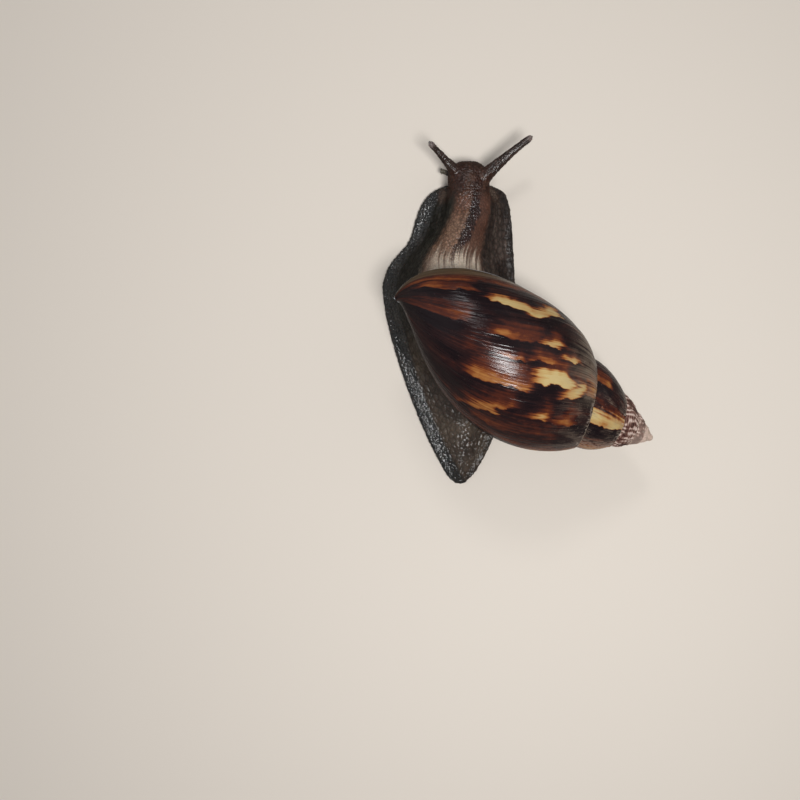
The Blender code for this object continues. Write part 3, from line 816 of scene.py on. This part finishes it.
start = np.array(START)
body_places = np.concatenate(
    [np.linspace(-0.0275, -0.0205, 24), np.linspace(-0.020, 0.064, 210), np.linspace(0.0643, 0.0705, 24)]
)
trunk_skin = closed_skin([np.array(body_section(float(y))) + start for y in body_places])
head_places = np.concatenate([np.linspace(0.056, 0.072, 40), np.linspace(0.0723, 0.0763, 16)])
head_skin = closed_skin([head_section(float(y)) + start for y in head_places])
top = mouth_loop(STALK_TURNS[0], MOUTH_GAP)
middle = top.mean(0)
top = drawn_in(top, STALK_FILL)
angle = np.arctan2(top[:, 1] - middle[1], top[:, 0] - middle[0])
low = np.stack([STALK_SIZE[0] * np.cos(angle), STALK_SIZE[1] * np.sin(angle), angle * 0], 1)
low = start + STALK_FOOT + low
stalk_rings = []
for share in np.linspace(0, 1, 24):
    ring = low + (top - low) * share**STALK_FLARE
    ring[:, 2] = low[:, 2] + (top[:, 2] - low[:, 2]) * share
    stalk_rings.append(ring)
for turn in STALK_TURNS[1:]:
    stalk_rings.append(drawn_in(mouth_loop(turn, 2 * MOUTH_GAP), STALK_FILL))
stalk_skin = closed_skin(stalk_rings, flat_ends=True)
body = grown_together("snail_skin", [trunk_skin, head_skin, stalk_skin], COARSE_STEP)
# The joints are evened out, but not the thin edge of the foot or the front of the head.
here = of_points(body) - start
soften(body, 60, smooth(0.0036, 0.0070, here[:, 2]) * smooth(0.0770, 0.0660, here[:, 1]))
from_fold = np.linalg.norm(of_points(body) - start - NECK_FOLD, axis=1)
soften(body, 140, smooth(0.013, 0.006, from_fold))
whole = [(of_points(body).tolist(), [tuple(face.vertices) for face in body.data.polygons])]
for name, line in FEELER_LINES.items():
    whole.append(closed_skin(feeler_rings(*(line + start), *FEELER_RADII[name][:3])))
for side in (-1, 1):
    lip_place = start + LIPS_PLACE + np.array((side * 0.0013, 0, 0))
    whole.append(closed_skin(ball_rings(lip_place, LIPS_SIZE * (0.62, 1, 1))))
bpy.data.objects.remove(body)
body = grown_together("snail_skin", whole, FINE_STEP)
here = of_points(body) - start
root_share = np.zeros(len(here))
for name, (root, way, _) in FEELER_LINES.items():
    reach = FEELER_RADII[name][3]
    ahead = way - root
    middle = root + ahead * (0.0022 / np.linalg.norm(ahead))
    root_share = np.maximum(root_share, smooth(reach, 0.55 * reach, np.linalg.norm(here - middle, axis=1)))
soften(body, 45, root_share)
soften(body, 5)

# ---- Flesh, skin relief ----
# The skin is wet and covered with small raised grains with grooves between them, coarse on the tail and
# the rim of the foot, fine on the neck and feelers. The sole is smooth and flat.


def grains(points, size, seed):
    """A net of irregular grains: their height, from 0 in a groove to about 1, and a number for each."""
    spot = points / size
    cell = np.floor(spot).astype(np.int64)
    first = np.full(len(spot), 9.0)
    second = first.copy()
    tag = np.zeros(len(spot))
    for step in np.ndindex(3, 3, 3):
        near = cell + np.array(step) - 1
        mixed = near[:, 0] * 73856093 ^ near[:, 1] * 19349663 ^ near[:, 2] * 83492791
        mixed = (mixed ^ seed * 2654435) & 0xFFFFFFF
        offsets = []
        for k in range(4):
            mixed = (mixed * 1103515245 + 12345 + k) & 0x7FFFFFFF
            offsets.append((mixed >> 8 & 0xFFFF) / 65535)
        middle = near + 0.1 + 0.8 * np.stack(offsets[:3], 1)
        far = np.linalg.norm(spot - middle, axis=1)
        closer = far < first
        second = np.where(closer, first, np.minimum(second, far))
        tag = np.where(closer, offsets[3], tag)
        first = np.where(closer, far, first)
    beside = 1 - (1 - np.clip((second - first) / 0.6, 0, 1)) ** 2
    return beside * (1.1 - 1.1 * first**2), tag


spots = of_points(body) - start
outwards = of_points(body, "normal")
mm = spots * 1000  # x to the snail's right, y ahead and z up, from START
x, y, z = mm.T
rows = between(BODY_STATIONS, np.clip(y / 1000, -0.0275, 0.0705)) * 1000
aside = (x - rows[:, 2]) / rows[:, 3]  # across the body: 0 on its ridge, 1 at the ridge's half width
left_edge = x - rows[:, 0]
right_edge = rows[:, 1] - x
edge = np.minimum(left_edge, right_edge)  # millimetres in from the edge of the foot
sideways = ripple(y * 0.45, x * 0.45, 40)
warp = np.stack([sideways, ripple(x * 0.4, z * 0.4 + y * 0.3, 41), ripple(y * 0.5, z * 0.5, 42)], 1)
loose = mm + 0.35 * warp
fine = grains(loose, np.array((0.50, 0.62, 0.50)), 1)[0]
neck_grain, tag_neck = grains(loose, np.array((0.85, 1.05, 0.85)), 2)
bead, tag_bead = grains(loose, np.array((1.05, 1.20, 1.00)), 3)
bold, tag_bold = grains(loose, np.array((1.6, 2.2, 1.6)), 4)
# Where each kind of skin lies, from 0 to 1.
in_head = smooth(62, 67, y) * smooth(1.25, 1.0, np.abs(x - 22.3) / 8.6) * smooth(2.0, 3.5, z)
on_feeler = np.zeros(len(spots))
for name, (root, _, tip) in FEELER_LINES.items():
    line = (tip - root) * 1000
    from_root = mm - root * 1000
    along = np.clip((from_root @ line) / (line @ line), 0, 1.1)
    off = np.linalg.norm(from_root - along[:, None] * line, axis=1)
    reach = 3.4 if name.startswith("upper") else 1.9
    on_feeler = np.maximum(on_feeler, smooth(0.06, 0.24, along) * smooth(reach, reach - 0.8, off))
near_collar = smooth(47.5, 41.0, y) * smooth(12, 20, z)
neck_top = smooth(34, 40, y) * smooth(68, 64, y) * smooth(-0.84, -0.44, aside) * smooth(0.96, 0.76, aside)
wander = 0.04 * ripple(y * 0.35, y * 0, 48) + 0.05 * ripple(y * 1.1, x * 1.1, 49)
wander += 0.09 * (tag_neck - 0.5) * smooth(44, 52, y)
stripe_half = np.interp(y, (40, 46, 52, 58, 63, 68), (0.08, 0.13, 0.21, 0.23, 0.18, 0.10))
stripe_middle = np.interp(y, (40, 47, 54), (0.05, 0.14, 0.20))
off_stripe = np.abs(aside + wander - stripe_middle) - stripe_half
stripe = smooth(0.05, -0.05, off_stripe) * smooth(33, 38, y) * smooth(70, 63, y)
tan = neck_top * smooth(0.24, 0.14, aside + wander)
red = neck_top * smooth(0.16, 0.26, aside + wander)
rim = np.maximum(smooth(5.4, 3.9, left_edge) * smooth(9, 6.5, z), 0.4 * smooth(2.4, 1.5, right_edge))
rim = rim * smooth(70.5, 67, y)
sole = smooth(0.35, 0.05, z)
flank = (1 - neck_top) * (1 - rim) * (1 - in_head) * (1 - on_feeler)
rear = smooth(40, 26, y)
# Metres up from the smooth skin: grains, then folds, creases and rings, then the furrow and the mouth.
relief = 0.00034 * (bold - 0.7) * flank * (0.45 + 0.55 * rear)
relief += 0.00010 * (bead - 0.6) * flank
relief += 0.00027 * (bead - 0.6) * rim
neck_rough = stripe + 0.75 * tan * (1 - 0.75 * near_collar) + 0.35 * red
relief += 0.00026 * (neck_grain - 0.6) * neck_rough
relief += 0.00015 * (neck_grain - 0.6) * np.maximum(in_head, 0.4 * on_feeler)
fine_rough = 1 - 0.5 * red + 2.4 * on_feeler + in_head + 0.8 * stripe + 0.5 * tan
relief += 0.00005 * (fine - 0.6) * fine_rough
across = aside * rows[:, 3] + 0.5 * ripple(y * 0.12, x * 0.3, 43)
folds = 0.5 * ripple(across * 1.0, y * 0.05, 44) + 0.4 * ripple(across * 2.3, y * 0.08, 54)
folds += 0.4 * ripple(across * 4.4, y * 0.11, 55)
relief += 0.00024 * folds * smooth(53, 43, y) * smooth(12, 18, z)
relief += 0.00008 * folds * smooth(24, 34, y) * flank
creases = ripple(y * 1.1 + 0.6 * ripple(x * 0.35, z * 0.4, 45), x * 0.12, 46)
relief += 0.00010 * creases * in_head * (1 - on_feeler)
rings = ripple(y * 0.9 + x * 0.9 + 0.3 * sideways, z * 0.2, 47)
relief += 0.00004 * rings * on_feeler
furrow = edge - 3.0 - 1.8 * (left_edge < right_edge)
furrow = np.exp(-((furrow / 0.45) ** 2)) * smooth(1.2, 2.0, z) * smooth(8.0, 5.5, z)
relief -= 0.00014 * furrow * (1 - in_head)
slit = np.exp(-(((x - LIPS_PLACE[0] * 1000) / 0.28) ** 2)) * smooth(74.0, 75.8, y) * smooth(9.0, 7.5, z)
relief -= 0.00035 * slit
relief *= 1 - sole
pushed = spots + outwards * relief[:, None]
pushed[:, 2] = np.where(z < 0.12, 0, np.maximum(pushed[:, 2], 0.00002))
body.data.vertices.foreach_set("co", (pushed + start).astype(np.float32).ravel())
body.data.update()
body.data.shade_smooth()

# ---- Flesh, colour ----
# The neck is red-brown with a near-black stripe down its middle, and pale and streaked where it stretches
# to the shell. The flanks and the foot's rim are almost black, the left flank's near-black partly painted
# shade, the right flank browner, the tail greyer, the feelers mauve-brown.


def near_tip(name, outer, inner):
    """1 within the inner distance of a feeler's tip and 0 past the outer one."""
    return smooth(outer, inner, np.linalg.norm(mm - FEELER_LINES[name][2] * 1000, axis=1))


cloud = ripple(x * 0.22, y * 0.16 + z * 0.1, 50)
mottle = ripple(x * 0.9, y * 0.5 + z * 0.6, 53)
long_streaks = ripple(aside * 9, y * 0.10, 51) * 0.6 + ripple(aside * 21, y * 0.16, 52) * 0.4
right_side = smooth(0.6, 1.0, aside)
tail = smooth(30, 8, y)
under = smooth(16, 26, z) * smooth(40, 34, y)
ragged = aside + 0.10 * long_streaks
pale_here = smooth(12, 18, z) * smooth(-0.82, -0.26, ragged) * smooth(0.98, 0.70, ragged)
pale = pale_here * smooth(-0.25, 0.60, 0.8 * folds + (45.0 - y) / 8)
# Over the near-black of the flanks, on the left flank partly painted shade, go these colours, each one laid
# over the ones before it.
hide = np.tile((0.015, 0.0135, 0.0100), (len(mm), 1))
layers = (
    # The right side is browner. The left keeps the near-black, partly painted shade.
    (right_side, (0.026, 0.0165, 0.0135)),
    (0.9 * right_side * smooth(0.0, 0.8, long_streaks), (0.086, 0.062, 0.050)),
    (0.6 * right_side * smooth(0.2, 0.9, cloud), (0.070, 0.051, 0.042)),
    (0.6 * (1 - right_side) * smooth(0.1, 0.9, long_streaks), (0.034, 0.033, 0.024)),
    (tail, (0.050, 0.036, 0.028)),
    (0.6 * tail * smooth(-0.3, 0.8, cloud), (0.105, 0.078, 0.056)),
    (tan, (0.130, 0.054, 0.030)),
    (tan * smooth(62, 53, y), (0.245, 0.142, 0.094)),
    (0.5 * tan * smooth(0.0, 0.8, mottle) * smooth(-0.2, 0.3, folds), (0.080, 0.038, 0.024)),
    (red, (0.085, 0.035, 0.022)),
    (0.6 * red * smooth(54, 46, y), (0.130, 0.068, 0.046)),
    (pale, (0.500, 0.415, 0.330)),
    # Darker streaks where the folds sink, on the pale skin and at the stripe's end, are partly streaked
    # skin and partly painted shade in the fold grooves.
    (0.46 * pale_here * smooth(51, 46, y) * smooth(0.04, -0.42, folds), (0.110, 0.070, 0.052)),
    (0.94 * stripe * smooth(42, 49, y), (0.021, 0.0082, 0.0072)),
    (0.80 * stripe * smooth(49, 43, y) * smooth(0.50, -0.20, folds), (0.050, 0.023, 0.017)),
    (0.7 * under * smooth(-0.4, 0.4, long_streaks), (0.300, 0.250, 0.195)),
    (rim, (0.0155, 0.0140, 0.0125)),
    (0.5 * rim * smooth(-0.2, 0.9, mottle), (0.050, 0.044, 0.038)),
    (in_head, (0.036, 0.0120, 0.0065)),
    (0.5 * in_head * smooth(0.0, 0.8, mottle), (0.084, 0.038, 0.022)),
    (0.6 * in_head * smooth(71, 76, y), (0.040, 0.021, 0.016)),
    (0.7 * in_head * smooth(7.5, 5.0, z), (0.110, 0.078, 0.060)),
    (on_feeler, (0.036, 0.0190, 0.0135)),
    (0.8 * near_tip("upper_left", 2.6, 1.3), (0.240, 0.185, 0.172)),
    (0.8 * near_tip("upper_right", 2.6, 1.3), (0.240, 0.185, 0.172)),
    (0.7 * near_tip("lower_left", 3.2, 1.4), (0.170, 0.155, 0.110)),
    (0.7 * near_tip("lower_right", 3.2, 1.4), (0.170, 0.155, 0.110)),
    # The mouth's slit is painted dark, as painted shade inside the groove.
    (slit, (0.020, 0.010, 0.008)),
    (sole, (0.200, 0.165, 0.135)),
)
for share, colour in layers:
    hide = hide + (np.array(colour) - hide) * np.clip(share, 0, 1)[:, None]
on_neck = neck_top + in_head + on_feeler > 0.5
grain = np.where(rim > 0.5, bead, np.where(on_neck, neck_grain, bold))
tag = np.where(rim > 0.5, tag_bead, np.where(on_neck, tag_neck, tag_bold))
# Each grain's colour darkens towards the grooves around it, which is painted shade in the grooves, and its
# tone differs at random from grain to grain.
depth = 1 - 0.8 * np.maximum(np.maximum(sole, pale), 0.5 * red)
depth *= 1 - 0.4 * rear * (1 - rim)
hide *= ((0.45 + 0.65 * grain) * (0.85 + 0.2 * fine) * (0.85 + 0.4 * tag))[:, None] ** depth[:, None]
tint = body.data.attributes.new("hide", "FLOAT_COLOR", "POINT")
tint.data.foreach_set("color", np.insert(hide, 3, 1, axis=1).astype(np.float32).ravel())
# The slime lies thickest on the stripe, the foot's rim and the feelers.
slimy = 0.60 - 0.25 * right_side * flank
slimy = np.maximum(slimy, np.maximum(np.maximum(0.88 * stripe, rim), 0.82 * tan))
slimy = slimy + (0.62 - slimy) * in_head * (1 - on_feeler)
add_numbers(body, "wet", np.maximum(slimy, 0.8 * on_feeler))

flesh = Nodes("wet_skin")
base = flesh.add("Attribute", attribute_name="hide").outputs["Color"]
wet = flesh.number("wet")
spot = flesh.add("TexCoord").outputs["Object"]
speck = flesh.noise(spot, 2600, 3, 0.6)
soft_cloud = flesh.noise(spot, 420, 3)
shade = flesh.plus(flesh.times(speck, 0.7), flesh.times(soft_cloud, 0.7), 0.28)
colour = flesh.mix(1.0, base, flesh.place(shade, shade, shade), "MULTIPLY")
film = flesh.noise(spot, 900, 2)
pores = flesh.noise(spot, 5200, 2, 0.6)
skin_bump = flesh.bump(speck, 0.00010, 0.6, flesh.bump(pores, 0.00004, 0.45))
slanted = flesh.add("LayerWeight").outputs["Facing"]
body.data.materials.clear()
body.data.materials.append(
    flesh.finish(
        Base_Color=colour,
        Roughness=flesh.plus(flesh.times(film, 0.35), 0.28),
        Normal=skin_bump,
        Specular_IOR_Level=0.04,
        Coat_Weight=flesh.times(flesh.rise(slanted, 0.56, 0.22), wet),
        Coat_Roughness=0.12,
        Coat_IOR=1.55,
        Coat_Normal=flesh.bump(speck, 0.00010, 0.7, flesh.bump(pores, 0.00004, 0.5)),
        Subsurface_Weight=0.06,
        Subsurface_Scale=0.0006,
        IOR=1.40,
    )
)
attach(body, "root")
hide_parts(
    "foot",
    "tail",
    "trunk",
    "neck",
    "head",
    "mouth",
    "upper_tentacle_left",
    "upper_tentacle_right",
    "lower_tentacle_left",
    "lower_tentacle_right",
)

# ---- Mantle collar ----
# The thick fleshy rim that builds the shell. It fills the shell's mouth just behind the lip, cream to
# brown and smooth with slime, and the neck comes out through it.

COLLAR_TURNS = (-0.055, -0.006)  # its back and its front, in turns
COLLAR_ROLL = 0.0011  # how far its front edge rolls out
COLLAR_DRAW = 0.34  # and how far in
COLLAR_STEP = 0.00035
collar_rings = [mouth_loop(turn, MOUTH_GAP) for turn in np.linspace(*COLLAR_TURNS, 12)]
ahead = mouth_loop(0.006, MOUTH_GAP) - mouth_loop(0.0, MOUTH_GAP)
ahead /= np.linalg.norm(ahead, axis=1, keepdims=True)
for bend in np.linspace(0, np.pi / 2, 12):
    drawn = drawn_in(mouth_loop(COLLAR_TURNS[1], MOUTH_GAP), 1 - COLLAR_DRAW * (1 - math.cos(bend)))
    collar_rings.append(drawn + ahead * COLLAR_ROLL * math.sin(bend))
collar = grown_together("mantle_rim", [closed_skin(collar_rings, flat_ends=True)], COLLAR_STEP)
soften(collar, 6)
collar.data.shade_smooth()
rim_skin = Nodes("mantle_flesh")
spot = rim_skin.add("TexCoord").outputs["Object"]
mottle = rim_skin.noise(spot, 500, 4, 0.6)
rim_colour = rim_skin.ramp(
    mottle, ((0.32, (0.10, 0.065, 0.045)), (0.5, (0.26, 0.20, 0.15)), (0.72, (0.46, 0.39, 0.31)))
)
collar.data.materials.append(
    rim_skin.finish(
        Base_Color=rim_colour,
        Roughness=0.32,
        Normal=rim_skin.bump(rim_skin.noise(spot, 2400, 3), 0.00008, 0.5),
        Coat_Weight=0.8,
        Coat_Roughness=0.08,
        Subsurface_Weight=0.15,
        Subsurface_Scale=0.0008,
    )
)
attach(collar, "root")
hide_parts("mantle_collar")

# ---- Eyes ----
# Each upper feeler ends in an eye, a small black bead under clear skin. It stands a little proud of the tip
# and is always wet, so it is made as a ball of its own with a hard shine.

bead_black = Nodes("eye_black")
spot = bead_black.add("TexCoord").outputs["Object"]
eye_colour = bead_black.ramp(
    bead_black.noise(spot, 1500, 2), ((0.3, (0.006, 0.005, 0.006)), (0.7, (0.022, 0.014, 0.012)))
)
eye_finish = bead_black.finish(Base_Color=eye_colour, Roughness=0.12, Coat_Weight=1.0, Coat_Roughness=0.03)
for side in ("left", "right"):
    low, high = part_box(f"eye_{side}")
    points, faces = closed_skin(ball_rings(np.array((low + high) / 2), np.array((high - low) / 2)))
    eye = mesh_object(f"eye_bead_{side}", points, faces)
    eye.data.materials.append(eye_finish)
    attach(eye, "root")
    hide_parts(f"eye_{side}")


# ---- Studio ----
# The floor of the case is a plain pale board. Soft lamps stand round it, with the main one close to the
# camera, which looks straight down from the height of a hand held over the case.

floor = mesh_object("studio_floor", [(-3, -3, 0), (3, -3, 0), (3, 3, 0), (-3, 3, 0)], [(0, 1, 2, 3)])
board = bpy.data.materials.new("pale_board")
board.use_nodes = True
board_finish = board.node_tree.nodes["Principled BSDF"].inputs
board_finish["Base Color"].default_value = (0.64, 0.58, 0.51, 1)
board_finish["Roughness"].default_value = 0.7
floor.data.materials.append(board)


def soft_light(name, place, aim, width, power, colour=(1, 1, 1)):
    """A round lamp that faces a point, with its width in metres and its power in watts."""
    lamp = bpy.data.lights.new(name, "AREA")
    lamp.shape = "DISK"
    lamp.size = width
    lamp.energy = power
    lamp.color = colour
    holder = in_scene(name, lamp)
    holder.location = place
    holder.rotation_euler = (Vector(aim) - Vector(place)).to_track_quat("-Z", "Y").to_euler()


shell_side = START + Vector((0.02, 0.03, 0.02))
neck_side = START + Vector((0.02, 0.05, 0.01))
soft_light("key_light", START + Vector((0.068, -0.070, 0.43)), shell_side, 0.115, 1.60)
soft_light("front_light", START + Vector((0.00, 0.30, 0.36)), neck_side, 0.09, 0.30)
soft_light("fill_light", (-0.70, 0.30, 0.55), (0, 0, 0.02), 1.1, 0.9, (0.95, 0.97, 1.0))
soft_light("rim_light", (0.62, 0.35, 0.50), (0, 0, 0.02), 0.9, 0.6, (1.0, 0.97, 0.92))

world = bpy.data.worlds.new("studio_air")
world.use_nodes = True
air = world.node_tree.nodes["Background"].inputs
air["Color"].default_value = (0.93, 0.95, 1.0, 1)
air["Strength"].default_value = 0.19
bpy.context.scene.world = world
bpy.context.scene.view_settings.view_transform = "Standard"

CAMERA_HEIGHT = 0.30
camera_data = bpy.data.cameras.new("camera")
camera_data.sensor_width = 36
camera_data.lens = 40.9
camera_data.clip_start = 0.01
camera = in_scene("camera", camera_data)
camera.location = START + Vector((0, 0, CAMERA_HEIGHT))
bpy.context.scene.camera = camera
